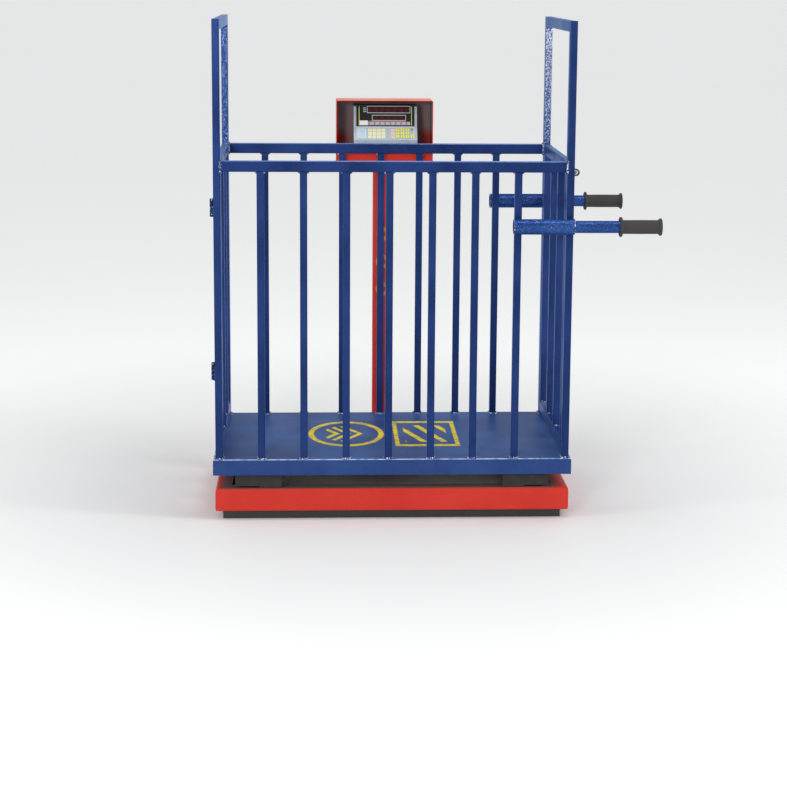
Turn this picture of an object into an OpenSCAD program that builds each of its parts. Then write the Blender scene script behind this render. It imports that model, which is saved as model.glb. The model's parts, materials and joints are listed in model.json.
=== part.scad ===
// Livestock weighing crate: a barred cage with two end gates on a weighing deck,
// carried by four load cells on a steel base, with an indicator on a rear column.
// Millimetres, +Z up, handles towards +X, column at the rear (+Y).

/* [Platform] */
// Length of the weighing deck, left to right
deck_length = 1000; // [900:10:1300]
// Width of the weighing deck, front to back
deck_width = 600; // [520:10:800]
// Thickness of the deck sheet
deck_sheet = 4; // [3:0.5:5]
// Height of the lip folded down round the deck
lip_height = 45; // [40:1:60]
// Outside radius of the deck's folded edges
deck_bend = 6; // [5.5:0.5:8]
// Height of the box ribs under the deck
rib_height = 30; // [25:1:34]
// Width of the box ribs under the deck
rib_width = 40; // [32:1:60]
// Wall of the box ribs
rib_wall = 3; // [2:0.5:4]

/* [Base] */
// Distance from the deck's edge in to the base's face
base_inset = 6; // [2:1:20]
// Height of the base's folded channels
base_height = 65; // [55:1:90]
// Width of a base channel's flanges
channel_flange = 45; // [42:1:60]
// Sheet thickness of the base channels
channel_wall = 4; // [3:0.5:6]
// Outside radius of a channel's folds
channel_bend = 6; // [5.5:0.5:8]
// Clear height between the base and the deck's lip
weigh_gap = 40; // [36:1:60]

/* [Skids and load cells] */
// Height of the rubber skids under the base
skid_height = 25; // [15:1:40]
// Distance from the base's face in to the skids
skid_inset = 20; // [5:1:30]
// Distance from the base's end in to the load buttons
button_inset = 75; // [35:1:120]
// Length of a load cell
cell_length = 130; // [110:1:160]
// Width of a load cell
cell_width = 32; // [26:1:36]
// Height of a load cell's beam
cell_height = 30; // [24:1:33]
// Height of the step under a load cell's fixed end
cell_step = 6; // [3:1:8]
// Diameter of the load button on a cell's free end
button_d = 24; // [16:1:30]
// Diameter of the frame bolts
bolt_d = 10; // [8:1:12]

/* [Cage] */
// Narrow side of the cage tube
tube_w = 20; // [18:1:30]
// Wide side of the cage tube
tube_h = 30; // [25:1:40]
// Wall of the cage tube
tube_wall = 2; // [1.5:0.5:2.5]
// Outside corner radius of the cage tube
tube_corner = 3; // [2.6:0.1:4]
// Distance from the deck's edge in to the posts
post_inset = 7; // [3:1:20]
// Height of the side rails above the deck
cage_height = 830; // [700:10:1100]
// Height of the end portals above the deck
portal_height = 1210; // [1150:10:1500]
// Bars in each side panel
bar_count = 7; // [5:1:7]
// Distance from the left post to the first bar, centre to centre
bar_first = 118; // [100:1:130]
// Distance from the last front bar to the right post, centre to centre
front_last = 143; // [100:1:160]
// Distance from the last rear bar to the right post, centre to centre
rear_last = 152; // [100:1:160]

/* [Gates] */
// Clear height under a gate
gate_clear = 15; // [10:1:60]
// Gap between a gate and its hinge post
hinge_gap = 11; // [10.5:0.5:14]
// Gap between a gate and its latch post
latch_gap = 6; // [4:0.5:12]
// Bars inside a gate
gate_bar_count = 2; // [2:1:4]
// Radius of a hinge barrel
barrel_r = 6.5; // [5.5:0.1:6.6]
// Height of one half of a hinge
barrel_height = 25; // [20:1:40]
// Radius of a hinge pin
pin_r = 4; // [3:0.1:4.5]
// Drop from the top of the cage to the upper hinges' split
upper_hinge_drop = 131; // [90:1:300]
// Height of the lower hinges' split above the deck
lower_hinge = 243; // [120:1:400]

/* [Latches] */
// Radius of a latch bolt
bolt_rod_r = 4.5; // [4:0.1:6]
// Thickness of the straps that hold a latch bolt
strap_sheet = 3; // [2.5:0.1:4]
// Room for a latch bolt in its keeper, all round
keeper_clear = 2.2; // [2.1:0.1:3]
// Width of the straps that hold a latch bolt
strap_width = 12; // [8:1:16]
// Drop from the top of the cage to the latch bolts
latch_drop = 30; // [28:1:160]
// How far a latch bolt slides
bolt_travel = 30; // [26:1:40]
// Length of the finger stub on a latch bolt
stub_length = 34; // [24:1:50]
// Radius of the finger stub
stub_r = 4; // [3:0.1:5]

/* [Handles] */
// Outside diameter of a handle sleeve
sleeve_d = 42.4; // [40:0.1:50]
// Outside diameter of a handle tube
handle_d = 33.7; // [30:0.1:36]
// Wall of a handle tube
handle_wall = 2.6; // [2:0.1:4]
// Height of the handles above the deck
handle_height = 654; // [500:1:760]
// Length of sleeve past the last bar
sleeve_overhang = 5; // [2:1:20]
// Tube showing between the front sleeve and its grip
front_reach = 123; // [60:1:160]
// Tube showing between the rear sleeve and its grip
rear_reach = 112; // [60:1:160]
// Tube left in the sleeve when the handle is drawn out
handle_grip_in = 46; // [40:1:60]
// Length of a rubber grip
grip_length = 116; // [90:1:150]
// Outside diameter of a rubber grip
grip_d = 38; // [37.5:0.1:44]
// Diameter of a grip's inner flange
grip_flange_d = 55; // [48:1:60]
// Diameter of a grip's flared end
grip_end_d = 48.5; // [44:0.5:52]

/* [Column and hood] */
// Side of the square indicator column
column_side = 60; // [50:1:80]
// Wall of the column tube
column_wall = 2.5; // [2:0.5:4]
// Sideways place of the column
column_x = -9; // [-60:1:60]
// Clear distance between the deck and the column
column_clear = 10; // [6:1:20]
// Width of the hood
hood_width = 292; // [270:1:340]
// Room between the indicator's back and the hood's rear wall
hood_room = 3; // [1:1:60]
// Height of the hood
hood_height = 201; // [196:1:260]
// Drop from the top of the cage to the hood's lower edge
hood_drop = 74; // [30:1:130]
// Sideways place of the hood
hood_x = -5; // [-60:1:60]
// Sheet thickness of the hood
hood_sheet = 2; // [1.5:0.5:3]
// Outside radius of the hood's folded edges
hood_bend = 5; // [4:0.5:10]
// Height of the apron under the hood's mouth
apron_height = 62; // [40:1:70]

/* [Indicator] */
// Width of the indicator case
case_width = 192; // [180:1:220]
// Depth of the indicator case
case_depth = 100; // [90:1:124]
// Height of the indicator case
case_height = 122; // [112:1:130]
// Height of the upright edge under the keypad
case_sill = 20; // [12:1:24]
// Rise of the keypad's slope
keypad_rise = 37; // [34:1:44]
// Run of the keypad's slope
keypad_run = 26; // [18:1:32]
// Run of the display's slope
display_run = 16; // [8:1:24]
// Skin of the case, measured front to back
case_skin = 3.2; // [2.6:0.1:4]
// Width of a digit key
key_width = 10; // [8:0.5:12]
// Height of a digit key along the slope
key_length = 8.5; // [7:0.5:9.5]
// Spacing of the digit keys across the keypad
key_pitch_x = 14.8; // [13:0.1:15.4]
// Spacing of the digit keys along the slope
key_pitch_y = 11.7; // [11.5:0.1:14]
// How far a digit key stands proud of the keypad film
key_proud = 1.6; // [1.4:0.1:3]
// How far a digit key travels
key_travel = 1.2; // [0.6:0.1:1.2]

/* [Hidden] */
$fn = 48;
overrun = 2;
slide_clear = 0.4;
pin_clear = 0.05;
split_clear = 0.3;
hole_clear = 0.3;
seat_clear = 0.05;

deck_top = skid_height + base_height + weigh_gap + lip_height;
base_length = deck_length - 2 * base_inset;
base_width = deck_width - 2 * base_inset;
base_top = skid_height + base_height;
flange_middle = base_width / 2 - channel_flange / 2;
skid_length = base_length - 2 * skid_inset;
skid_span = base_width - 2 * skid_inset;
skid_width = channel_flange - skid_inset;
rib_low = deck_top - deck_sheet - rib_height;
rib_end_gap = 6;

head_height = 7;
head_share = 1.7;
head_d = head_share * bolt_d;
cell_top = base_top + cell_step + cell_height;
cell_fixed_length = 62;
cell_bolt_edge = 14;
cell_bolt_pitch = 34;
cell_free_edge = 20;
rib_x = base_length / 2 - button_inset;
cell_free_x = rib_x + cell_free_edge;

box_length = 110;
box_depth = 70;
box_height = 44;
box_wall = 3;
box_x = 150;
lid_sheet = 4;
gland_r = 8;
gland_length = 11;
gland_count = 5;
gland_pitch = 20;
gland_inset = 14;

post_x = deck_length / 2 - post_inset - tube_w / 2;
post_y = deck_width / 2 - post_inset - tube_h / 2;
side_y = deck_width / 2 - post_inset - tube_w / 2;
outer_x = post_x + tube_w / 2;
first_bar_x = bar_first - post_x;
front_pitch = (post_x - front_last - first_bar_x) / (bar_count - 1);
rear_pitch = (post_x - rear_last - first_bar_x) / (bar_count - 1);
outer_y = side_y + tube_w / 2;
cage_top = deck_top + cage_height;
tube_cap = 2;

gate_hinge_y = post_y - tube_h / 2 - hinge_gap;
gate_latch_y = -post_y + tube_h / 2 + latch_gap;
gate_low = deck_top + gate_clear;
gate_inner = gate_hinge_y - gate_latch_y - 2 * tube_w;
gate_bar_pitch = gate_inner / (gate_bar_count + 1);
barrel_out = 4.5;
barrel_x = outer_x + barrel_out;
barrel_y = gate_hinge_y + hinge_gap / 2;
leaf_sheet = 3;
leaf_reach = 12;
pin_short = 5;
pin_height = barrel_height - pin_short;
pin_room = 1.5;
barrel_chamfer = 1.5;

rod_out = bolt_rod_r + slide_clear;
rod_x = outer_x + rod_out;
keeper_bore = bolt_rod_r + keeper_clear;
rod_z = cage_top - latch_drop;
rod_tip_past = 3;
rod_tip_y = gate_latch_y - rod_tip_past;
stile_strap_y = gate_latch_y + tube_w / 2;
bar_strap_y = gate_latch_y + tube_w + gate_bar_pitch;
rod_tail = 10;
bolt_rod_length = bar_strap_y + strap_width / 2 + bolt_travel + rod_tail - rod_tip_y;
stub_from_strap = 40;
stub_y = bar_strap_y - stub_from_strap;
rod_chamfer = 1;

handle_z = deck_top + handle_height;
handle_y = outer_y + sleeve_d / 2;
grip_end_wall = 4;
grip_flange_sheet = 6;
grip_flare = 8;
grip_rim = 3;

column_y = deck_width / 2 + column_clear + column_side / 2;
bracket_ear = 20;
bracket_edge = 5;
bracket_bolt_rise = 17;
hood_low = cage_top - hood_drop;
shelf_top = hood_low + apron_height;
hood_gap = 4;
hood_front = deck_width / 2 + column_clear - hood_gap;

case_shift = 3;
case_x = hood_x + case_shift;
case_setback = 4;
case_front = hood_front + case_setback;
display_rise = case_height - case_sill - keypad_rise;
keypad_tilt = atan(keypad_run / keypad_rise);
display_tilt = atan(display_run / display_rise);
keypad_slope = norm([keypad_run, keypad_rise]);
display_slope = norm([display_run, display_rise]);
case_back_sheet = 3;
hood_depth = case_setback + case_depth + case_back_sheet + hood_room + hood_sheet;
board_sheet = 1.6;
board_margin = 12;
board_post_r = 4;
board_post_height = 14;
film_sheet = 0.8;
film_margin = 8;
film_edge = 1.5;
panel_sheet = 1.2;
panel_edge = 2.5;
window_sheet = 1;
main_window = [124, 16.5];
main_window_at = [10, 53.5];
second_window = [96, 12];
second_window_at = [11, 28];
digit_edge = 44.5;
digit_x = case_width / 2 - digit_edge;
key_flange = 1;
key_flange_sheet = 1;
key_wall = case_skin * cos(keypad_tilt);
// Column and row of keys 0 to 9, counted from the middle of the three by three block
key_steps = [[2, -1], [-1, -1], [0, -1], [1, -1], [-1, 0], [0, 0], [1, 0], [-1, 1], [0, 1], [1, 1]];

grip_end_x = outer_x + front_reach + grip_length;
latch_edge_x = rod_x + keeper_bore + strap_sheet;
handle_edge_y = handle_y + grip_flange_d / 2;
middle_x = (grip_end_x - latch_edge_x) / 2;
middle_y = (hood_front + hood_depth - handle_edge_y) / 2;

blue = "#24428c";
red = "#c9382e";
zinc = "#a9adb0";
black = "#2b2b2b";

// The finished part stands with the middle of its box over the origin
module placed() {
    translate([-middle_x, -middle_y, 0])
        children();
}

// The left end is the right end turned half way round
module left_end() {
    rotate([0, 0, 180])
        children();
}

module at_corners(x, y) {
    for (side_x = [-1, 1])
        for (side_y_way = [-1, 1])
            translate([side_x * x, side_y_way * y, 0])
                children();
}

// A flat shape extruded along +X: its x becomes Y and its y becomes Z
module along_x(length) {
    rotate([90, 0, 90])
        linear_extrude(length)
            children();
}

// A flat shape extruded along +Y: its x stays X and its y becomes Z
module along_y(length) {
    translate([0, length, 0])
        rotate([90, 0, 0])
            linear_extrude(length)
                children();
}

module rounded_rect(w, h, r) {
    square([w - 2 * r, h], center = true);
    square([w, h - 2 * r], center = true);
    for (x = [-1, 1])
        for (y = [-1, 1])
            translate([x * (w / 2 - r), y * (h / 2 - r)])
                circle(r);
}

module tube_section(w, h) {
    difference() {
        rounded_rect(w, h, tube_corner);
        rounded_rect(w - 2 * tube_wall, h - 2 * tube_wall, tube_corner - tube_wall);
    }
}

// An upright tube with its top end closed
module capped_tube(w, h, length) {
    linear_extrude(length - tube_cap)
        tube_section(w, h);
    translate([0, 0, length - tube_cap])
        linear_extrude(tube_cap)
            rounded_rect(w, h, tube_corner);
}

// A sheet folded over at both ends of its top, seen from its open side
module folded_section(w, h, r) {
    translate([-w / 2, 0])
        square([w, h - r]);
    translate([r - w / 2, 0])
        square([w - 2 * r, h]);
    for (x = [-1, 1])
        translate([x * (w / 2 - r), h - r])
            circle(r);
}

// A block whose four top edges are round
module folded_block(length, width, height, r) {
    intersection() {
        translate([0, -width / 2, 0])
            along_y(width)
                folded_section(length, height, r);
        translate([-length / 2, 0, 0])
            along_x(length)
                folded_section(width, height, r);
    }
}

module hex_bolt(length) {
    cylinder(h = head_height, d = head_d, $fn = 6);
    translate([0, 0, -length])
        cylinder(h = length, d = bolt_d);
}

module channel_section() {
    difference() {
        translate([0, base_height / 2])
            rotate(90)
                translate([0, -channel_flange])
                    folded_section(base_height, channel_flange, channel_bend);
        translate([0, base_height / 2])
            rotate(90)
                translate([0, -channel_flange - overrun])
                    folded_section(
                        base_height - 2 * channel_wall,
                        channel_flange - channel_wall + overrun,
                        channel_bend - channel_wall);
    }
}

// A base channel along X, its web at y = 0, its flanges reaching to +Y, mitred at both ends
module base_channel(length) {
    intersection() {
        translate([-length / 2, 0, 0])
            along_x(length)
                channel_section();
        translate([0, 0, -overrun])
            linear_extrude(base_height + 2 * overrun)
                polygon([
                    [-length / 2, 0],
                    [length / 2, 0],
                    [length / 2 - channel_flange, channel_flange],
                    [channel_flange - length / 2, channel_flange]]);
    }
}

// A long base channel with its bolt holes for two load cells
module long_channel() {
    difference() {
        base_channel(base_length);
        for (side = [-1, 1])
            for (x = cell_bolt_places())
                translate([side * x, channel_flange / 2, base_height - channel_wall - overrun])
                    cylinder(h = channel_wall + 2 * overrun, d = bolt_d + 2 * hole_clear);
    }
}

function cell_bolt_places() = [
    for (i = [0, 1]) cell_free_x - cell_length + cell_bolt_edge + i * cell_bolt_pitch];

function bracket_bolt_places() = [
    for (x = [-1, 1])
        for (z = [-1, 1])
            [
                column_x + x * (column_side + bracket_ear) / 2,
                skid_height + base_height / 2 + z * bracket_bolt_rise]];

module bracket_bolt_cuts() {
    for (at = bracket_bolt_places())
        translate([at[0], base_width / 2 - channel_wall - overrun, at[1]])
            along_y(column_y - base_width / 2 + channel_wall)
                circle(d = bolt_d + 2 * hole_clear);
}

module base_front_rail() {
    color(red)
        translate([0, -base_width / 2, skid_height])
            long_channel();
}

module base_rear_rail() {
    color(red)
        difference() {
            translate([0, base_width / 2, skid_height])
                rotate([0, 0, 180])
                    long_channel();
            bracket_bolt_cuts();
        }
}

module base_right_rail() {
    color(red)
        translate([base_length / 2, 0, skid_height])
            rotate([0, 0, 90])
                base_channel(base_width);
}

module base_left_rail() {
    color(red)
        left_end()
            base_right_rail();
}

// Rubber strips under the front and rear channels
module long_skids() {
    color(black)
        for (y = [-skid_span / 2, skid_span / 2 - skid_width])
            translate([-skid_length / 2, y, 0])
                cube([skid_length, skid_width, skid_height]);
}

// Rubber strips under the end channels, between the long ones
module short_skids() {
    color(black)
        for (x = [-skid_length / 2, skid_length / 2 - skid_width])
            translate([x, skid_width - skid_span / 2, 0])
                cube([skid_width, skid_span - 2 * skid_width, skid_height]);
}

// A bending beam with its fixed end on the base and its free end under a deck rib
module load_cell() {
    difference() {
        union() {
            translate([-cell_length, -cell_width / 2, cell_step])
                cube([cell_length, cell_width, cell_height]);
            translate([-cell_length, -cell_width / 2, 0])
                cube([cell_fixed_length, cell_width, cell_step]);
        }
        for (x = cell_bolt_places())
            translate([x - cell_free_x, 0, -overrun])
                cylinder(h = cell_step + cell_height + 2 * overrun, d = bolt_d + 2 * hole_clear);
    }
}

// Each corner's mirror image of what sits at the right rear corner
module mirrored_corners() {
    for (x = [0, 1])
        for (y = [0, 1])
            mirror([x, 0, 0])
                mirror([0, y, 0])
                    children();
}

module load_cells() {
    color("#3b3d40")
        mirrored_corners()
            translate([cell_free_x, flange_middle, base_top])
                load_cell();
}

module load_buttons() {
    color(zinc)
        at_corners(rib_x, flange_middle)
            translate([0, 0, cell_top])
                cylinder(h = rib_low - cell_top, d = button_d);
}

module frame_bolts() {
    color(zinc) {
        mirrored_corners()
            for (x = cell_bolt_places())
                translate([x, flange_middle, cell_top])
                    hex_bolt(cell_step + cell_height + channel_wall);
        for (at = bracket_bolt_places())
            translate([at[0], deck_width / 2 + column_clear, at[1]])
                rotate([-90, 0, 0])
                    hex_bolt(deck_width / 2 + column_clear - base_width / 2 + channel_wall);
    }
}

module junction_box() {
    color("#8a8f92")
        translate([box_x, base_width / 2 - channel_wall, skid_height + base_height / 2]) {
            difference() {
                translate([-box_length / 2, -box_depth, -box_height / 2])
                    cube([box_length, box_depth, box_height]);
                translate([box_wall - box_length / 2, -box_depth - overrun, box_wall - box_height / 2])
                    cube([
                        box_length - 2 * box_wall,
                        box_depth - box_wall + overrun,
                        box_height - 2 * box_wall]);
            }
            for (i = [1:gland_count])
                translate([
                    (i - (gland_count + 1) / 2) * gland_pitch,
                    gland_inset - box_depth,
                    -box_height / 2 - gland_length])
                    cylinder(h = gland_length, r = gland_r);
        }
}

module junction_lid() {
    color("#777c80")
        translate([box_x, base_width / 2 - channel_wall - box_depth, skid_height + base_height / 2])
            translate([-box_length / 2, -lid_sheet, -box_height / 2])
                cube([box_length, lid_sheet, box_height]);
}

module column_bracket() {
    color(red)
        difference() {
            translate([
                column_x - column_side / 2 - bracket_ear,
                base_width / 2,
                skid_height + bracket_edge])
                cube([
                    column_side + 2 * bracket_ear,
                    deck_width / 2 + column_clear - base_width / 2,
                    base_height - 2 * bracket_edge]);
            bracket_bolt_cuts();
        }
}

module deck_pan() {
    color(blue)
        translate([0, 0, deck_top - lip_height])
            difference() {
                folded_block(deck_length, deck_width, lip_height, deck_bend);
                translate([0, 0, -overrun])
                    folded_block(
                        deck_length - 2 * deck_sheet,
                        deck_width - 2 * deck_sheet,
                        lip_height - deck_sheet + overrun,
                        deck_bend - deck_sheet);
            }
}

// Box ribs across the deck, over the load cells and in the middle
module deck_ribs() {
    rib_length = deck_width - 2 * deck_sheet - 2 * rib_end_gap;
    color(blue)
        for (x = [-rib_x, 0, rib_x])
            translate([x, -rib_length / 2, rib_low + rib_height / 2])
                along_y(rib_length)
                    difference() {
                        square([rib_width, rib_height], center = true);
                        square([rib_width - 2 * rib_wall, rib_height - 2 * rib_wall], center = true);
                    }
}

module portal_post(side_x, side_y_way) {
    color(blue)
        translate([side_x * post_x, side_y_way * post_y, deck_top])
            capped_tube(tube_w, tube_h, portal_height);
}

module right_header() {
    length = 2 * post_y - tube_h;
    color(blue)
        translate([post_x, -length / 2, deck_top + portal_height - tube_h / 2])
            along_y(length)
                tube_section(tube_w, tube_h);
}

module left_header() {
    left_end()
        right_header();
}

module side_rail(y) {
    length = 2 * post_x - tube_w;
    color(blue)
        translate([-length / 2, y, cage_top - tube_h / 2])
            along_x(length)
                tube_section(tube_w, tube_h);
}

module side_bars(y, pitch) {
    color(blue)
        for (i = [0:bar_count - 1])
            translate([first_bar_x + i * pitch, y, deck_top])
                linear_extrude(cage_height - tube_h)
                    tube_section(tube_w, tube_w);
}

// Two stiles with closed tops, and the bars between them
module gate_uprights() {
    for (y = [gate_latch_y + tube_w / 2, gate_hinge_y - tube_w / 2])
        translate([post_x, y, gate_low])
            capped_tube(tube_w, tube_w, cage_top - gate_low);
    for (i = [1:gate_bar_count])
        translate([post_x, gate_latch_y + tube_w + i * gate_bar_pitch, gate_low + tube_h])
            linear_extrude(cage_top - gate_low - 2 * tube_h)
                tube_section(tube_w, tube_w);
}

module gate_rails() {
    for (z = [gate_low + tube_h / 2, cage_top - tube_h / 2])
        translate([post_x, gate_latch_y + tube_w, z])
            along_y(gate_inner)
                tube_section(tube_w, tube_h);
}

module hinge_places() {
    for (z = [deck_top + lower_hinge, cage_top - upper_hinge_drop])
        translate([barrel_x, barrel_y, z])
            children();
}

// A round barrel with both ends chamfered
module barrel() {
    tip_r = barrel_r - barrel_chamfer;
    cylinder(h = barrel_chamfer, r1 = tip_r, r2 = barrel_r);
    translate([0, 0, barrel_chamfer])
        cylinder(h = barrel_height - 2 * barrel_chamfer, r = barrel_r);
    translate([0, 0, barrel_height - barrel_chamfer])
        cylinder(h = barrel_chamfer, r1 = barrel_r, r2 = tip_r);
}

module gate_knuckles() {
    reach = hinge_gap / 2 + leaf_reach;
    hinge_places()
        difference() {
            union() {
                barrel();
                translate([-barrel_out, -reach, 0])
                    cube([leaf_sheet, reach, barrel_height - barrel_chamfer]);
            }
            translate([0, 0, -overrun])
                cylinder(h = pin_height + pin_room + overrun, r = pin_r + pin_clear);
        }
}

module post_knuckles() {
    hinge_places()
        translate([0, 0, -split_clear]) {
            mirror([0, 0, 1])
                barrel();
            translate([-barrel_out, 0, barrel_chamfer - barrel_height])
                cube([leaf_sheet, hinge_gap / 2 + leaf_reach, barrel_height - barrel_chamfer]);
            cylinder(h = pin_height, r = pin_r);
        }
}

module hinge_pins() {
    color(blue) {
        post_knuckles();
        left_end()
            post_knuckles();
    }
}

// A strap bent round the latch bolt's axis, its feet on the outer face
module latch_strap(y, bore) {
    translate([outer_x, y - strap_width / 2, rod_z])
        along_y(strap_width)
            difference() {
                strap_section(bore + strap_sheet);
                strap_section(bore);
            }
}

module strap_section(r) {
    intersection() {
        union() {
            translate([rod_out, 0])
                circle(r);
            translate([0, -r])
                square([rod_out, 2 * r]);
        }
        translate([0, -r])
            square([rod_out + r, 2 * r]);
    }
}

module latch_keepers() {
    color(zinc) {
        latch_strap(-post_y, keeper_bore);
        left_end()
            latch_strap(-post_y, keeper_bore);
    }
}

module latch_straps() {
    latch_strap(stile_strap_y, rod_out);
    latch_strap(bar_strap_y, rod_out);
}

// A round bolt drawn back clear of its post, with a finger stub hanging from it
module latch_bolt() {
    translate([rod_x, rod_tip_y, rod_z]) {
        translate([0, rod_chamfer, 0])
            along_y(bolt_rod_length - rod_chamfer)
                circle(bolt_rod_r);
        rotate([-90, 0, 0])
            cylinder(h = rod_chamfer, r1 = bolt_rod_r - rod_chamfer, r2 = bolt_rod_r);
    }
    translate([rod_x, stub_y, rod_z - stub_length])
        cylinder(h = stub_length, r = stub_r);
}

module sleeve(y_way, pitch) {
    start = first_bar_x + (bar_count - 1) * pitch - tube_w / 2 - sleeve_overhang;
    translate([start, y_way * handle_y, handle_z])
        along_x(outer_x - start)
            difference() {
                circle(d = sleeve_d);
                circle(d = handle_d + 2 * slide_clear);
            }
}

module handle_sleeves() {
    color(blue) {
        sleeve(-1, front_pitch);
        sleeve(1, rear_pitch);
    }
}

module handle_tube(y_way, reach) {
    color(blue)
        translate([outer_x - handle_grip_in, y_way * handle_y, handle_z])
            along_x(handle_grip_in + reach + grip_length - grip_end_wall)
                difference() {
                    circle(d = handle_d);
                    circle(d = handle_d - 2 * handle_wall);
                }
}

// A moulded grip with an inner flange, a flared end and a closed end wall
module handle_grip(y_way, reach) {
    bore = handle_d / 2 + seat_clear;
    color(black)
        translate([outer_x + reach, y_way * handle_y, handle_z])
            rotate([90, 0, 90])
                rotate_extrude()
                    polygon([
                        [bore, 0],
                        [grip_flange_d / 2, 0],
                        [grip_flange_d / 2, grip_flange_sheet],
                        [grip_d / 2, grip_flange_sheet + grip_flange_sheet / 2],
                        [grip_d / 2, grip_length - grip_flare],
                        [grip_end_d / 2, grip_length - grip_rim],
                        [grip_end_d / 2, grip_length],
                        [0, grip_length],
                        [0, grip_length - grip_end_wall],
                        [bore, grip_length - grip_end_wall]]);
}

module indicator_column() {
    color(red)
        translate([column_x, column_y, skid_height])
            linear_extrude(shelf_top - hood_sheet - skid_height)
                difference() {
                    rounded_rect(column_side, column_side, tube_corner);
                    rounded_rect(
                        column_side - 2 * column_wall,
                        column_side - 2 * column_wall,
                        tube_corner - tube_wall);
                }
}

// An open-fronted sheet box over a skirt that hides the column's head
module indicator_hood() {
    mouth_height = hood_height - apron_height;
    color(red)
        translate([hood_x, hood_front, hood_low])
            difference() {
                along_y(hood_depth)
                    folded_section(hood_width, hood_height, hood_bend);
                translate([0, -overrun, apron_height])
                    along_y(hood_depth - hood_sheet + overrun)
                        folded_section(
                            hood_width - 2 * hood_sheet,
                            mouth_height - hood_sheet,
                            hood_bend - hood_sheet);
                translate([hood_sheet - hood_width / 2, hood_sheet, -overrun])
                    cube([
                        hood_width - 2 * hood_sheet,
                        hood_depth - 2 * hood_sheet,
                        apron_height - hood_sheet + overrun]);
            }
}

module on_keypad() {
    translate([case_x, case_front, shelf_top + case_sill])
        rotate([90 - keypad_tilt, 0, 0])
            children();
}

module on_display() {
    translate([case_x, case_front + keypad_run, shelf_top + case_sill + keypad_rise])
        rotate([90 - display_tilt, 0, 0])
            children();
}

module case_outer() {
    polygon([
        [0, 0],
        [case_depth, 0],
        [case_depth, case_height],
        [keypad_run + display_run, case_height],
        [keypad_run, case_sill + keypad_rise],
        [0, case_sill]]);
}

module case_inner() {
    skin_top = case_height - case_skin;
    skin_top_run = keypad_run + display_run * (1 - case_skin / display_rise);
    polygon([
        [case_skin, case_skin],
        [case_depth + overrun, case_skin],
        [case_depth + overrun, skin_top],
        [skin_top_run + case_skin, skin_top],
        [keypad_run + case_skin, case_sill + keypad_rise],
        [case_skin, case_sill]]);
}

function key_place(digit) = [
    digit_x + key_steps[digit][0] * key_pitch_x,
    keypad_slope / 2 + key_steps[digit][1] * key_pitch_y];

module key_cuts(low, high) {
    for (digit = [0:9])
        translate([key_place(digit)[0], key_place(digit)[1], low])
            linear_extrude(high - low)
                square([key_width + 2 * hole_clear, key_length + 2 * hole_clear], center = true);
}

module indicator_case() {
    color("#a3b0ba")
        difference() {
            translate([case_x - case_width / 2, case_front, shelf_top])
                along_x(case_width)
                    case_outer();
            translate([case_x + case_skin - case_width / 2, case_front, shelf_top])
                along_x(case_width - 2 * case_skin)
                    case_inner();
            on_keypad()
                key_cuts(-key_wall - overrun, overrun);
        }
}

// The rear cover, with four posts for the circuit board
module indicator_back() {
    color("#939fa8")
        translate([case_x, case_front + case_depth, shelf_top]) {
            translate([-case_width / 2, 0, 0])
                cube([case_width, case_back_sheet, case_height]);
            for (x = [-1, 1])
                for (z = [2 * board_margin, case_height - 2 * board_margin])
                    translate([x * (case_width / 2 - 2 * board_margin), -board_post_height, z])
                        along_y(board_post_height)
                            circle(board_post_r);
        }
}

module circuit_board() {
    color("#2f6b45")
        translate([
            case_x + board_margin - case_width / 2,
            case_front + case_depth - board_post_height - board_sheet,
            shelf_top + board_margin])
            cube([case_width - 2 * board_margin, board_sheet, case_height - 2 * board_margin]);
}

module display_panel() {
    color("#1c1d1f")
        on_display()
            translate([film_margin - case_width / 2, panel_edge, 0])
                cube([case_width - 2 * film_margin, display_slope - 2 * panel_edge, panel_sheet]);
}

module display_windows() {
    color("#4a1218")
        on_display()
            for (window = [[main_window, main_window_at], [second_window, second_window_at]])
                translate([window[1][0], window[1][1], panel_sheet])
                    linear_extrude(window_sheet)
                        square(window[0], center = true);
}

module keypad_film() {
    color("#b9c1ae")
        on_keypad()
            difference() {
                translate([film_margin - case_width / 2, film_edge, 0])
                    cube([case_width - 2 * film_margin, keypad_slope - 2 * film_edge, film_sheet]);
                key_cuts(-overrun, film_sheet + overrun);
            }
}

// A key that stands through the case, held from behind by its flange
module digit_key(digit) {
    color("#d8d23a")
        on_keypad()
            translate([key_place(digit)[0], key_place(digit)[1], 0]) {
                translate([0, 0, -key_wall - split_clear])
                    linear_extrude(key_wall + split_clear + film_sheet + key_proud)
                        square([key_width, key_length], center = true);
                translate([0, 0, -key_wall - split_clear - key_flange_sheet])
                    linear_extrude(key_flange_sheet)
                        square([key_width + 2 * key_flange, key_length + 2 * key_flange], center = true);
            }
}

placed() base_front_rail();
placed() base_rear_rail();
placed() base_left_rail();
placed() base_right_rail();
placed() long_skids();
placed() short_skids();
placed() load_cells();
placed() load_buttons();
placed() frame_bolts();
placed() junction_box();
placed() junction_lid();
placed() column_bracket();
placed() deck_pan();
placed() deck_ribs();
placed() portal_post(-1, -1);  // front_left_post
placed() portal_post(1, -1);  // front_right_post
placed() portal_post(-1, 1);  // rear_left_post
placed() portal_post(1, 1);  // rear_right_post
placed() left_header();
placed() right_header();
placed() side_rail(-side_y);  // front_top_rail
placed() side_rail(side_y);  // rear_top_rail
placed() side_bars(-side_y, front_pitch);  // front_bars
placed() side_bars(side_y, rear_pitch);  // rear_bars
placed() hinge_pins();
placed() latch_keepers();
placed() handle_sleeves();
placed() left_end() color(blue) gate_uprights();  // left_gate_uprights
placed() left_end() color(blue) gate_rails();  // left_gate_rails
placed() left_end() color(blue) gate_knuckles();  // left_gate_knuckles
placed() left_end() color(zinc) latch_straps();  // left_latch_straps
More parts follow.
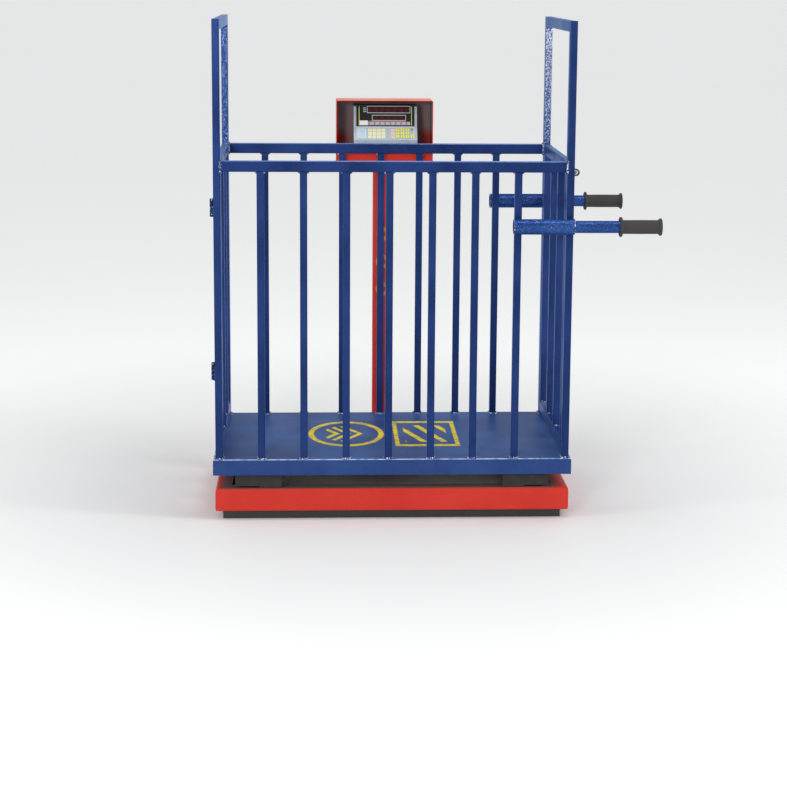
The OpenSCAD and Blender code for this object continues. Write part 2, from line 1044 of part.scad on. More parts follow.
placed() left_end() color(zinc) latch_bolt();  // left_latch_bolt
placed() color(blue) gate_uprights();  // right_gate_uprights
placed() color(blue) gate_rails();  // right_gate_rails
placed() color(blue) gate_knuckles();  // right_gate_knuckles
placed() color(zinc) latch_straps();  // right_latch_straps
placed() color(zinc) latch_bolt();  // right_latch_bolt
placed() handle_tube(-1, front_reach);  // front_handle_tube
placed() handle_grip(-1, front_reach);  // front_handle_grip
placed() handle_tube(1, rear_reach);  // rear_handle_tube
placed() handle_grip(1, rear_reach);  // rear_handle_grip
placed() indicator_column();
placed() indicator_hood();
placed() indicator_case();
placed() indicator_back();
placed() circuit_board();
placed() display_panel();
placed() display_windows();
placed() keypad_film();
placed() digit_key(0);  // key_0
placed() digit_key(1);  // key_1
placed() digit_key(2);  // key_2
placed() digit_key(3);  // key_3
placed() digit_key(4);  // key_4
placed() digit_key(5);  // key_5
placed() digit_key(6);  // key_6
placed() digit_key(7);  // key_7
placed() digit_key(8);  // key_8
placed() digit_key(9);  // key_9
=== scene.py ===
import json
import math
import random

import bmesh
import bpy
from mathutils import Matrix, Vector


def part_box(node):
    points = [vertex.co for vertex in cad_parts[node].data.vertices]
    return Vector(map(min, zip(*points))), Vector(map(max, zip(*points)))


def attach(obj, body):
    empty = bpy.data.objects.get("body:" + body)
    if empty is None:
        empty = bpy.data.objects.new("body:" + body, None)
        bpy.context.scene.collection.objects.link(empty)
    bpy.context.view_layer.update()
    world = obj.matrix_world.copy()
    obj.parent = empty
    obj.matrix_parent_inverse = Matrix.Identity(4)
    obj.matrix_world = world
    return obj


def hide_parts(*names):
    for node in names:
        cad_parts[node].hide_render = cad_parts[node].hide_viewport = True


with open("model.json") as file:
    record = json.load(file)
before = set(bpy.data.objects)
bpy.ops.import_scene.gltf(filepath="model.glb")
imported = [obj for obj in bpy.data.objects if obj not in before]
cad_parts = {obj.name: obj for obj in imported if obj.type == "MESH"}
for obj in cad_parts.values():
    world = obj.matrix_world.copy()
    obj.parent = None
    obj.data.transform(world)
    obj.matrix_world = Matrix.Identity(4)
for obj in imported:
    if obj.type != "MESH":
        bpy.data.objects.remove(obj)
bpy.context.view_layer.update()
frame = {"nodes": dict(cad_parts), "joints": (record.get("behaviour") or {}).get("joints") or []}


# Base frame: four red channels of folded steel sheet, mitred and welded at the corners.
# Painted shade darkens their flanges under the deck but not at the ends, and painted light pales
# the faces further in.
class Field:
    """One shader socket: arithmetic on it adds Math nodes to its tree."""

    def __init__(self, tree, socket):
        self.tree = tree
        self.socket = socket

    def node(self, kind, settings=None, inputs=None, output=0):
        """A new node with its settings made and its inputs fed, as the Field of one output."""
        made = self.tree.nodes.new("ShaderNode" + kind)
        for key, value in (settings or {}).items():
            setattr(made, key, value)
        feed(made, inputs or {})
        return Field(self.tree, made.outputs[output])

    def math(self, operation, *others):
        """A Math node on this socket and any others."""
        return self.node("Math", {"operation": operation}, dict(enumerate((self, *others))))

    def __add__(self, other):
        return self.math("ADD", other)

    def __sub__(self, other):
        return self.math("SUBTRACT", other)

    def __mul__(self, other):
        return self.math("MULTIPLY", other)

    def __truediv__(self, other):
        return self.math("DIVIDE", other)

    def __neg__(self):
        return self * -1.0

    def __rsub__(self, other):
        return -self + other

    __radd__ = __add__
    __rmul__ = __mul__


def feed(node, inputs):
    """Links a Field, or sets a plain value, on each named input of a shader node."""
    for key, value in inputs.items():
        if isinstance(value, Field):
            value.tree.links.new(value.socket, node.inputs[key])
        else:
            node.inputs[key].default_value = value


def paint(code):
    """A written sRGB colour as the linear RGBA that the shader takes."""
    parts = [int(code[i:i + 2], 16) / 255 for i in (1, 3, 5)]
    return (*[c / 12.92 if c <= 0.04045 else ((c + 0.055) / 1.055) ** 2.4 for c in parts], 1.0)


def new_material(name):
    """A material, its Principled node, and its Object coordinates as a vector and three axes."""
    made = bpy.data.materials.new(name)
    made.use_nodes = True
    tree = made.node_tree
    place = Field(tree, None).node("TexCoord", output="Object")
    axes = [place.node("SeparateXYZ", None, {0: place}, axis) for axis in "XYZ"]
    return made, tree.nodes["Principled BSDF"], place, axes


def noise(place, scale, detail=2.0):
    """Cloudy noise from 0 to 1, with about scale clouds to the metre."""
    return place.node("TexNoise", None, {"Vector": place, "Scale": scale, "Detail": detail})


def dimples(place, scale):
    """Scattered round hollows with soft edges."""
    return place.node("TexVoronoi", {"feature": "SMOOTH_F1"}, {"Vector": place, "Scale": scale})


def bump(height, strength, depth):
    """A surface normal that follows a height, where 1 stands for a depth in metres."""
    return height.node(
        "Bump", None, {"Strength": strength, "Distance": depth, "Height": height})


def mix(factor, low, high):
    """One colour where the factor is 0, another where it is 1."""
    return factor.node(
        "Mix", {"data_type": "RGBA", "clamp_factor": True}, {0: factor, 6: low, 7: high}, 2)


def ramp(field, low, high):
    """0 below low, 1 above high, smooth between them."""
    return field.node(
        "MapRange", {"interpolation_type": "SMOOTHSTEP"},
        {"Value": field, "From Min": low, "From Max": high})


def enamel(name, deep, lit, peel, rough, index=1.3, flake=0.0, sheen=None):
    """Thick gloss enamel in a cloudy tone, with hammered dimples and duller patches.

    It may hold metal flake, and take a painted sheen: a paler colour where it is seen at a
    glancing angle.
    """
    made, shader, place, axes = new_material(name)
    cloud = noise(place, 6.0, 3.0)
    grain = noise(place, 480.0, 3.0)
    tone = ramp(cloud * 0.55 + grain * 0.45, 0.36, 0.64)
    colour = mix(tone, paint(deep), paint(lit))
    if sheen:
        # Painted sheen: the colour turns paler at glancing angles.
        glancing = place.node("LayerWeight", None, {"Blend": 0.5}, "Facing")
        colour = mix(ramp(glancing, 0.78, 0.96) * 0.7, colour, paint(sheen))
    dull = ramp(cloud + grain * 0.4, 0.5, 0.95)
    hammered = dimples(place, 250.0) * 0.75 + grain * 0.25
    feed(shader, {
        "Base Color": colour,
        "Roughness": rough + 0.16 * dull,
        "Metallic": flake,
        "Specular Tint": paint(sheen or "#ffffff"),
        "Normal": bump(hammered, peel, depth=0.0015),
        "IOR": index})
    return made, shader, place, axes, colour


def dress(material, *names):
    """Gives the named CAD nodes a material in place of their packed one."""
    for name in names:
        mesh = frame["nodes"][name].data
        mesh.materials.clear()
        mesh.materials.append(material)


deck_low, deck_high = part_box("deck_pan")
deck_mid = (deck_low + deck_high) / 2
rail_low, rail_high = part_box("base_front_rail")
rear_rail_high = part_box("base_rear_rail")[1]
end_reach = (rail_high.x - rail_low.x) / 2
side_reach = deck_mid.y - rail_low.y
channel_flange = 0.045
# The painted shade stops short of both ends with a ragged edge, a little further short at the
# right one.
unshaded_end = 0.036
shade_shift = 0.007
shade_rag = 0.012

red_enamel, *_ = enamel("red_enamel", "#ce2f24", "#e0382b", peel=0.08, rough=0.34)
base_enamel, base_shader, base_place, base_axes, base_colour = enamel(
    "base_enamel", "#c52e22", "#d13629", peel=0.07, rough=0.34)
base_x = base_axes[0] - deck_mid.x
base_y = base_axes[1] - deck_mid.y
inset = (end_reach - base_x.math("ABSOLUTE")).math(
    "MINIMUM", side_reach - base_y.math("ABSOLUTE"))
shade_reach = (base_x + shade_shift).math("ABSOLUTE") + noise(base_place, 30.0) * shade_rag
towards_end = ramp(shade_reach, end_reach - unshaded_end, end_reach - 0.001)
# Painted shade darkens the flanges under the deck, and painted light pales the surfaces further
# in.
under_deck_shade = ramp(inset, 0.0025, 0.005) * (1.0 - towards_end)
inside_channel = ramp(inset, channel_flange, channel_flange + 0.015)
painted_shade_and_light = mix(inside_channel, paint("#68605e"), paint("#c8bdbb"))
feed(base_shader, {
    "Base Color": mix(under_deck_shade * 0.97, base_colour, painted_shade_and_light),
    "Roughness": 0.36 + 0.6 * under_deck_shade})
dress(base_enamel, "base_front_rail", "base_rear_rail", "base_left_rail", "base_right_rail")
dress(red_enamel, "column_bracket")


def weld_line(start, end, radius):
    """A straight weld, as a run of corners, whether it closes, and the radius of its bead."""
    return [start, end], False, radius


def weld_loop(corners, radius):
    """A weld that runs round and closes on itself."""
    return corners, True, radius


def traced(corners, closed, step=0.0022):
    """Points at an even step along a polyline."""
    ends = corners[1:] + corners[:1] if closed else corners[1:]
    points = []
    for start, end in zip(corners, ends):
        start, end = Vector(start), Vector(end)
        count = max(1, round((end - start).length / step))
        points += [start.lerp(end, i / count) for i in range(count)]
    return points if closed else points + [Vector(corners[-1])]


def meshed(curve):
    """The mesh that a curve or a text makes."""
    holder = bpy.data.objects.new(curve.name + "_curve", curve)
    bpy.context.scene.collection.objects.link(holder)
    bpy.context.view_layer.update()
    ready = holder.evaluated_get(bpy.context.evaluated_depsgraph_get())
    mesh = bpy.data.meshes.new_from_object(ready)
    bpy.data.objects.remove(holder)
    return mesh


def piece(name, mesh, material, body, smooth=True):
    """Puts a finished mesh in the scene as a piece that moves with a body."""
    mesh.name = name
    mesh.materials.clear()
    mesh.materials.append(material)
    for polygon in mesh.polygons:
        polygon.use_smooth = smooth
    made = bpy.data.objects.new(name, mesh)
    bpy.context.scene.collection.objects.link(made)
    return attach(made, body)


def beads(name, runs, material, body):
    """Rippled weld beads along runs, as one mesh that rides on a body."""
    rng = random.Random(name)
    curve = bpy.data.curves.new(name, "CURVE")
    curve.dimensions = "3D"
    curve.bevel_depth = 1.0
    curve.bevel_resolution = 2
    curve.use_fill_caps = True
    for corners, closed, radius in runs:
        points = traced(corners, closed)
        spline = curve.splines.new("POLY")
        spline.points.add(len(points) - 1)
        spline.use_cyclic_u = closed
        for i, (point, at) in enumerate(zip(spline.points, points)):
            point.co = (*at, 1.0)
            ripple = 0.84 + 0.16 * abs(math.sin(i * 1.25)) + rng.uniform(-0.07, 0.07)
            from_end = min(i, len(points) - 1 - i)
            taper = 1.0 if closed else min(1.0, 0.72 + 0.14 * from_end)
            point.radius = radius * ripple * taper
    return piece(name, meshed(curve), material, body)


corner_bead = 0.0024
corner_set = 0.0016
corner_stop = 0.007
mitre_bead = 0.0016
mitre_start = 0.005
mitre_end = channel_flange - 0.002
mitre_z = rail_high.z - 0.0008
base_runs = []
for x, inward_x in ((rail_low.x, 1), (rail_high.x, -1)):
    for y, inward_y in ((rail_low.y, 1), (rear_rail_high.y, -1)):
        corner_x = x + corner_set * inward_x
        corner_y = y + corner_set * inward_y
        base_runs.append(weld_line(
            (corner_x, corner_y, rail_low.z + corner_stop),
            (corner_x, corner_y, rail_high.z - corner_stop), corner_bead))
        base_runs.append(weld_line(
            (x + mitre_start * inward_x, y + mitre_start * inward_y, mitre_z),
            (x + mitre_end * inward_x, y + mitre_end * inward_y, mitre_z), mitre_bead))
base_welds = beads("base_welds", base_runs, base_enamel, "crate")


# Skids: strips of solid black rubber, fixed under the base and set back from its face.
# They are moulded plain, and dust has dulled them in patches.
rubber, rubber_shader, rubber_place, _ = new_material("black_rubber")
rubber_grain = noise(rubber_place, 900.0)
rubber_dust = ramp(noise(rubber_place, 14.0, 4.0), 0.45, 0.75)
feed(rubber_shader, {
    "Base Color": mix(rubber_dust * 0.5, paint("#31302f"), paint("#444240")),
    "Roughness": 0.62 + 0.25 * rubber_dust,
    "Normal": bump(rubber_grain, 0.25, depth=0.0003)})
dress(rubber, "long_skids", "short_skids")


# Load cells: four steel beams with a dark coat, bolted to the base by one end.
# A button on each free end carries the deck, and bolts and buttons are zinc-plated steel.
cell_coat, cell_shader, cell_place, _ = new_material("cell_black")
cell_cloud = noise(cell_place, 60.0, 4.0)
feed(cell_shader, {
    "Base Color": mix(ramp(cell_cloud, 0.4, 0.7), paint("#272524"), paint("#33302e")),
    "Roughness": 0.7 + 0.25 * cell_cloud,
    "Normal": bump(cell_cloud, 0.15, depth=0.0004)})
dress(cell_coat, "load_cells")

zinc, zinc_shader, zinc_place, _ = new_material("zinc_steel")
zinc_spangle = dimples(zinc_place, 320.0)
zinc_stain = ramp(noise(zinc_place, 45.0, 4.0), 0.5, 0.7)
feed(zinc_shader, {
    "Base Color": mix(zinc_stain * 0.6, paint("#bec3c5"), paint("#7f7971")),
    "Metallic": 0.9,
    "Roughness": 0.28 + 0.3 * zinc_stain + 0.15 * zinc_spangle,
    "Normal": bump(zinc_spangle, 0.1, depth=0.0003)})
dress(zinc, "load_buttons", "frame_bolts")


# Junction box: a grey plastic moulding with glands and a separate lid.
# It is fixed on the base, in the shade of the deck.
grey_plastic, grey_shader, grey_place, _ = new_material("grey_plastic")
grey_grain = noise(grey_place, 1200.0)
grey_dust = ramp(noise(grey_place, 20.0, 3.0), 0.4, 0.7)
feed(grey_shader, {
    "Base Color": mix(grey_dust, paint("#91979a"), paint("#7a7e80")),
    "Roughness": 0.5 + 0.2 * grey_grain,
    "Normal": bump(grey_grain, 0.2, depth=0.0002)})
dress(grey_plastic, "junction_box", "junction_lid")


# Weighing deck: one blue steel sheet with a lip folded down all round, on box ribs.
# Its enamel is painted paler than the cage's, as painted light on its top, and is worn paler where
# animals tread.
# Its top edge is partly worn bare and partly a painted highlight, and a ring with chevrons
# and a striped frame are sprayed on it in yellow through a stencil.
def below(field, level, soft):
    """1 where a field is below a level, 0 above it, with a soft edge."""
    return 1.0 - ramp(field, level - soft, level + soft)


def between(field, low, high, soft=0.0006):
    """1 where a field is between two values, with soft edges."""
    return ramp(field, low - soft, low + soft) * below(field, high, soft)


def patch(across, up, wide, tall, soft):
    """1 inside a rectangle of two fields, each with its own limits and soft edge."""
    return between(across, *wide, soft[0]) * between(up, *tall, soft[1])


# The deck's enamel is painted paler than the cage's, as painted light on its top.
deck_enamel, deck_shader, deck_place, deck_axes, deck_colour = enamel(
    "deck_enamel", "#274680", "#365b98", peel=0.07, rough=0.24, index=1.22)
deck_x = deck_axes[0] - deck_mid.x
deck_y = deck_axes[1] - deck_mid.y
deck_z = deck_axes[2]

# Sprayed marks: places are metres from the deck's middle, and the ring is longer front to back.
spray_rag = 0.005
spray_soft = (0.002, 0.003)
marks_back = 0.01
ring_left = 0.125
ring_squeeze = 0.7
ring_inner = 0.136
ring_outer = 0.158
spray = noise(deck_place, 90.0, 3.0) * spray_rag - spray_rag / 2
mark_y = deck_y - marks_back
ring_x = (deck_x + ring_left) / ring_squeeze
ring_at = (ring_x * ring_x + mark_y * mark_y).math("SQRT") + spray
ring = between(ring_at, ring_inner, ring_outer, 0.003)

chevron_left = 0.16
chevron_lean = 0.55
chevron_width = 0.016
chevron_pitch = 0.034
chevron_reach = 0.097
chevron_at = deck_x + chevron_left + mark_y.math("ABSOLUTE") * chevron_lean + spray
chevrons = sum(
    between(chevron_at, start, start + chevron_width, 0.002)
    for start in (0.0, chevron_pitch, 2 * chevron_pitch))
chevrons = chevrons * below(ring_at, chevron_reach, 0.003)

# The striped frame reaches as far front and back as the ring does.
frame_right = 0.1
frame_wide = (-0.085, 0.1)
frame_band = 0.012
inner_wide = (frame_wide[0] + frame_band, frame_wide[1] - frame_band)
stripe_wide = (-0.055, 0.07)
stripe_reach = 0.105
stripe_lean = 0.35
stripes_a_metre = 17.0
frame_x = deck_x - frame_right + spray
frame_y = mark_y + spray
frame_outer = patch(frame_x, frame_y, frame_wide, (-ring_outer, ring_outer), spray_soft)
frame_inner = patch(frame_x, frame_y, inner_wide, (-ring_inner, ring_inner), spray_soft)
stripe_at = ((frame_x + frame_y * stripe_lean) * stripes_a_metre).math("FRACT")
stripes = between(stripe_at, 0.2, 0.52, 0.04) * patch(
    frame_x, frame_y, stripe_wide, (-stripe_reach, stripe_reach), spray_soft)

stencil = (ring + chevrons + frame_outer * (1.0 - frame_inner) + stripes).math("MINIMUM", 1.0)
stencil = stencil * ramp(deck_z, deck_high.z - 0.002, deck_high.z - 0.0005)
stencil = stencil * (0.6 + 0.4 * ramp(noise(deck_place, 40.0, 4.0), 0.38, 0.55))

trodden = ramp(deck_z, deck_high.z - 0.0012, deck_high.z - 0.0003)
scuff = ramp(noise(deck_place, 5.0, 4.0), 0.45, 0.7) * trodden
from_edge = ((deck_high.x - deck_low.x) / 2 - deck_x.math("ABSOLUTE")).math(
    "MINIMUM", (deck_high.y - deck_low.y) / 2 - deck_y.math("ABSOLUTE"))
on_top = ramp(deck_z, deck_high.z - 0.003, deck_high.z - 0.002)
# The pale band along the top edge is partly worn bare and partly a painted highlight.
edge_wear_and_glint = 0.25 + 0.6 * ramp(noise(deck_place, 45.0, 4.0), 0.36, 0.56)
worn_and_lit_edge = between(from_edge, 0.0016, 0.0044, 0.0008) * on_top * edge_wear_and_glint
# Painted light pales the underside, and painted shade darkens the lip.
underside = ramp(from_edge, 0.0015, 0.0025) * (1.0 - on_top)
lip = (1.0 - on_top) * (1.0 - underside)
deck_worn = mix(scuff * 0.3, deck_colour, paint("#5b80bd"))
deck_worn = mix(worn_and_lit_edge, deck_worn, paint("#d2dcef"))
deck_worn = mix(underside, deck_worn, paint("#bcb3b2"))
deck_worn = mix(lip * 0.5, deck_worn, paint("#22356a"))
feed(deck_shader, {
    "Base Color": mix(stencil, deck_worn, paint("#efd726")),
    "Roughness": 0.22 + 0.2 * trodden + 0.1 * scuff + 0.15 * stencil + 0.5 * underside})
dress(deck_enamel, "deck_pan")

# The ribs are painted pale, as painted light in the deck's shade; the noise varies the tone at
# random.
rib_painted_light, rib_shader, rib_place, _ = new_material("rib_painted_light")
rib_dust = noise(rib_place, 30.0, 4.0)
feed(rib_shader, {
    "Base Color": mix(rib_dust, paint("#a19897"), paint("#baafad")),
    "Roughness": 0.7 + 0.2 * rib_dust})
dress(rib_painted_light, "deck_ribs")


# Cage: posts, headers, top rails and bars of steel tube, welded to the deck and to each other.
# The blue enamel is thick and holds metal flake, with a painted sheen at glancing angles and a
# painted highlight on the rails' tops.
# The rear posts and sleeves are hammered coarsest, in a lighter copy as painted light, with pale
# specks that are painted glints.
# Every joint shows a rounded weld, whose pale spots are painted glints.
def flat_top(z, level):
    """1 on the flat top of a tube at a level, 0 below it."""
    return between(z, level - 0.0012, level + 0.001)


blue_sheen = "#85a8de"
blue_enamel, blue_shader, blue_place, blue_axes, blue_colour = enamel(
    "blue_enamel", "#203261", "#2a4077",
    peel=0.25, rough=0.26, index=1.1, flake=0.5, sheen=blue_sheen)
top_low, top_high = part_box("front_top_rail")
# The rails' flat tops are painted paler in patches, as a painted highlight.
on_rails = flat_top(blue_axes[2], top_high.z) * between(
    blue_axes[0], top_low.x, top_high.x, 0.001)
rail_top_highlight = on_rails * (0.4 + 0.3 * noise(blue_place, 90.0, 3.0))
feed(blue_shader, {"Base Color": mix(rail_top_highlight, blue_colour, paint("#97b2ef"))})
dress(
    blue_enamel, "front_left_post", "front_right_post", "left_header", "right_header",
    "front_top_rail", "rear_top_rail", "front_bars", "rear_bars")

# A lighter copy of the blue enamel, as painted light, with pale specks that are painted glints.
hammered_lit_enamel, hammered_shader, hammered_place, hammered_axes, hammered_colour = enamel(
    "hammered_lit_enamel", "#254181", "#355a9c",
    peel=1.0, rough=0.15, index=1.1, flake=0.6, sheen=blue_sheen)
header_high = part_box("right_header")[1]
post_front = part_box("rear_right_post")[0].y
over_rails = ramp(hammered_axes[2], top_low.z, top_high.z)
# The front face of the rear right post takes the most painted light: it is painted paler, and its
# painted glints are densest, more so towards its top.
catching = (
    ramp(hammered_axes[2], top_high.z - 0.2, header_high.z)
    * between(hammered_axes[0], top_high.x, header_high.x)
    * below(hammered_axes[1], post_front + 0.00225, 0.00175))
# Pale specks are painted glints; above the rails they are denser and the colour is greyer.
glint_cells = hammered_place.node("TexVoronoi", None, {"Vector": hammered_place, "Scale": 215.0})
glint_reach = glint_cells + noise(hammered_place, 60.0) * 0.12 - catching * 0.16
glint_specks = 1.0 - ramp(glint_reach, 0.36, 0.44)
glint_share = 0.1 + 0.24 * over_rails + 0.61 * catching
hammered_colour = mix(over_rails * 0.4, hammered_colour, paint("#27426b"))
hammered_colour = mix(catching * 0.25, hammered_colour, paint("#a1add1"))
feed(hammered_shader, {
    "Base Color": mix(glint_specks * glint_share, hammered_colour, paint("#cdd5e6"))})
dress(hammered_lit_enamel, "rear_left_post", "rear_right_post", "handle_sleeves")

weld_enamel, weld_shader, weld_place, _, weld_colour = enamel(
    "weld_enamel", "#1e3366", "#29427d", peel=0.4, rough=0.2, flake=0.4)
# Pale spots on the beads are painted glints.
weld_glints = ramp(noise(weld_place, 330.0), 0.53, 0.6)
feed(weld_shader, {"Base Color": mix(weld_glints, weld_colour, paint("#d0daef"))})

bars_a_side = 7
tube_corner = 0.003
sleeve_overhang = 0.005
# Welds: the radius of each bead, and how far it stands out or stops short.
foot_out = 0.0012
bar_top_out = 0.0008
seam_stop = 0.002
post_bead = 0.0045
bar_bead = 0.0042
bar_top_bead = 0.0052
rail_bead = 0.0042
header_bead = 0.0046
saddle_bead = 0.004
saddle_reach = 0.009
rim_bead = 0.0016
rim_stop = 0.0015
rim_set = 0.0006
rim_steps = 32
hinge_bead = 0.0026
hinge_set = 0.001
split_stop = 0.003
leaf_stop = 0.004


def foot_weld(low, high, radius):
    """A weld all round the foot of an upright tube."""
    x0, x1 = low.x - foot_out, high.x + foot_out
    y0, y1 = low.y - foot_out, high.y + foot_out
    cut = tube_corner
    corners = [
        (x0 + cut, y0), (x1 - cut, y0), (x1, y0 + cut), (x1, y1 - cut),
        (x1 - cut, y1), (x0 + cut, y1), (x0, y1 - cut), (x0, y0 + cut)]
    return weld_loop([(x, y, low.z) for x, y in corners], radius)


def bar_boxes(name):
    """Low and high corners of each bar in a side panel's row of square bars."""
    low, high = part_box(name)
    width = high.y - low.y
    pitch = (high.x - low.x - width) / (bars_a_side - 1)
    starts = [low.x + i * pitch for i in range(bars_a_side)]
    return [
        (Vector((x, low.y, low.z)), Vector((x + width, high.y, high.z))) for x in starts]


cage_runs = []
for post in ("front_left_post", "front_right_post", "rear_left_post", "rear_right_post"):
    cage_runs.append(foot_weld(*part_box(post), post_bead))
for row in ("front_bars", "rear_bars"):
    for low, high in bar_boxes(row):
        cage_runs.append(foot_weld(low, high, bar_bead))
        for x in (low.x - bar_top_out, high.x + bar_top_out):
            cage_runs.append(weld_line(
                (x, low.y + tube_corner, high.z), (x, high.y - tube_corner, high.z),
                bar_top_bead))
for rail in ("front_top_rail", "rear_top_rail"):
    low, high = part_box(rail)
    for x in (low.x, high.x):
        cage_runs.append(weld_loop(
            [(x, low.y, low.z), (x, high.y, low.z), (x, high.y, high.z), (x, low.y, high.z)],
            rail_bead))
for header in ("left_header", "right_header"):
    low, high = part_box(header)
    for y in (low.y, high.y):
        cage_runs.append(weld_line(
            (low.x + seam_stop, y, low.z), (high.x - seam_stop, y, low.z), header_bead))

sleeve_low, sleeve_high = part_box("handle_sleeves")
sleeve_z = (sleeve_low.z + sleeve_high.z) / 2
sleeve_radius = (sleeve_high.z - sleeve_low.z) / 2
rim_radius = sleeve_radius - rim_set
rim_angles = [math.tau * i / rim_steps for i in range(rim_steps)]
for side in ("front", "rear"):
    low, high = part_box(f"{side}_right_post")
    last_low, last_high = bar_boxes(f"{side}_bars")[-1]
    face_y = low.y if side == "front" else high.y
    axis_y = sleeve_low.y + sleeve_radius if side == "front" else sleeve_high.y - sleeve_radius
    for x0, x1 in ((last_low.x, last_high.x), (low.x, high.x)):
        for z in (sleeve_z - saddle_reach, sleeve_z + saddle_reach):
            cage_runs.append(weld_line(
                (x0 + seam_stop, face_y, z), (x1 - seam_stop, face_y, z), saddle_bead))
    for x in (last_low.x - sleeve_overhang + rim_stop, high.x - rim_stop):
        rim = [
            (x, axis_y + rim_radius * math.cos(angle), sleeve_z + rim_radius * math.sin(angle))
            for angle in rim_angles]
        cage_runs.append(weld_loop(rim, rim_bead))

pins_low, pins_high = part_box("hinge_pins")


def leaf_welds(side, edge_y, way):
    """Welds on the edges of a side's two hinge leaves, above (1) or below (-1) their split."""
    low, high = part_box(f"{side}_gate_knuckles")
    leaf_height = low.z - pins_low.z
    face_x = high.x - hinge_set if side == "left" else low.x + hinge_set
    runs = []
    for split in (low.z, high.z - leaf_height):
        near_end = split + way * split_stop
        far_end = split + way * (leaf_height - leaf_stop)
        foot, head = sorted((near_end, far_end))
        runs.append(weld_line((face_x, edge_y, foot), (face_x, edge_y, head), hinge_bead))
    return runs


cage_runs += leaf_welds("left", pins_low.y, -1)
cage_runs += leaf_welds("right", pins_high.y, -1)
cage_welds = beads("cage_welds", cage_runs, weld_enamel, "crate")


# Gates: a frame of steel tube with inner bars at each end, on weld-on hinges.
# The blue enamel is painted a shade lighter than the cage's, as painted light where the cage
# shades it.
# The sills carry a painted highlight that pales towards the rear, the top rails' inner faces carry
# painted shade, and every inside corner has a weld.
gate_lit_enamel, gate_shader, gate_place, gate_axes, gate_colour = enamel(
    "gate_lit_enamel", "#283a6c", "#344984",
    peel=0.25, rough=0.26, index=1.1, flake=0.5, sheen=blue_sheen)
gate_low, gate_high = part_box("right_gate_rails")
tube_height = top_high.z - top_low.z
on_sills = flat_top(gate_axes[2], gate_low.z + tube_height) * between(
    gate_axes[1], gate_low.y, gate_high.y)
# The sills' flat tops are painted paler in patches, as a painted highlight, palest at the rear.
sill_highlight = on_sills * (0.4 + 0.4 * noise(gate_place, 90.0, 3.0))
# The top rails' inner faces are painted darker, as painted shade.
rail_face = between(gate_axes[2], gate_high.z - tube_height, gate_high.z - tube_corner, 0.001)
gate_colour = mix(rail_face * 0.6, gate_colour, paint("#2c447e"))
towards_rear = ramp(gate_axes[1], deck_mid.y + 0.1, gate_high.y)
sill_highlight_colour = mix(towards_rear, paint("#3c5cab"), paint("#b3b4dc"))
feed(gate_shader, {"Base Color": mix(sill_highlight, gate_colour, sill_highlight_colour)})

# The hinges are painted a darker blue, as painted shade, with pale spots that are painted glints.
hinge_enamel, hinge_shader, hinge_place, _, hinge_colour = enamel(
    "hinge_enamel", "#152043", "#20336a", peel=0.3, rough=0.2, index=1.2, flake=0.4)
hinge_glints = ramp(noise(hinge_place, 190.0, 3.0), 0.58, 0.66)
feed(hinge_shader, {"Base Color": mix(hinge_glints * 0.85, hinge_colour, paint("#d2dbef"))})
dress(hinge_enamel, "hinge_pins", "left_gate_knuckles", "right_gate_knuckles")

gate_bars = 2
gate_bead = 0.0044
gate_stop = 0.0025
for side in ("left", "right"):
    dress(gate_lit_enamel, f"{side}_gate_uprights", f"{side}_gate_rails")
    low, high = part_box(f"{side}_gate_rails")
    half_bar = (high.x - low.x) / 2
    corners = [low.y, high.y]
    for i in range(1, gate_bars + 1):
        middle = low.y + (high.y - low.y) * i / (gate_bars + 1)
        corners += [middle - half_bar, middle + half_bar]
    gate_runs = [
        weld_line((low.x + gate_stop, y, z), (high.x - gate_stop, y, z), gate_bead)
        for z in (low.z + tube_height, high.z - tube_height)
        for y in corners]
    leaf_low, leaf_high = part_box(f"{side}_gate_knuckles")
    gate_runs += leaf_welds(side, leaf_high.y if side == "left" else leaf_low.y, 1)
    gate_welds = beads(f"{side}_gate_welds", gate_runs, weld_enamel, f"{side}_gate")


# Latches: zinc straps hold a round bolt on each gate, and a blackened keeper sits on its post.
# The bolts are drawn back, so that the gates are free to swing.
dress(zinc, "left_latch_straps", "right_latch_straps", "left_latch_bolt", "right_latch_bolt")
keeper_steel, keeper_shader, keeper_place, _ = new_material("keeper_steel")
keeper_scale = noise(keeper_place, 260.0, 4.0)
feed(keeper_shader, {
    "Base Color": mix(ramp(keeper_scale, 0.5, 0.7), paint("#2a2a2e"), paint("#64656a")),
    "Metallic": 0.7,
    "Roughness": 0.36 + 0.3 * keeper_scale,
    "Normal": bump(keeper_scale, 0.3, depth=0.0004)})
dress(keeper_steel, "latch_keepers")


# Carrying handles: blue steel tubes that slide in sleeves welded to the right end of the cage.
# Each ends in a moulded rubber grip with a round inner flange and a flared end.
dress(hammered_lit_enamel, "front_handle_tube", "rear_handle_tube")


def turned(profile, origin, steps=48):
    """A mesh turned from (distance along X, radius) points about an axis through origin."""
    shape = bmesh.new()
    points = [shape.verts.new((origin.x + x, origin.y, origin.z + r)) for x, r in profile]
    edges = [shape.edges.new(pair) for pair in zip(points, points[1:])]
    bmesh.ops.spin(
        shape, geom=points + edges, cent=origin, axis=(1, 0, 0), angle=math.tau, steps=steps,
        use_merge=True)
    bmesh.ops.remove_doubles(shape, verts=shape.verts, dist=1e-6)
    bmesh.ops.recalc_face_normals(shape, faces=shape.faces)
    mesh = bpy.data.meshes.new("turned")
    shape.to_mesh(mesh)
    shape.free()
    return mesh


def arc(x, r, radius, start, end, count=6):
    """Points on part of a circle, from one angle to another in degrees."""
    angles = [math.radians(start + (end - start) * i / count) for i in range(count + 1)]
    return [(x + radius * math.cos(a), r + radius * math.sin(a)) for a in angles]


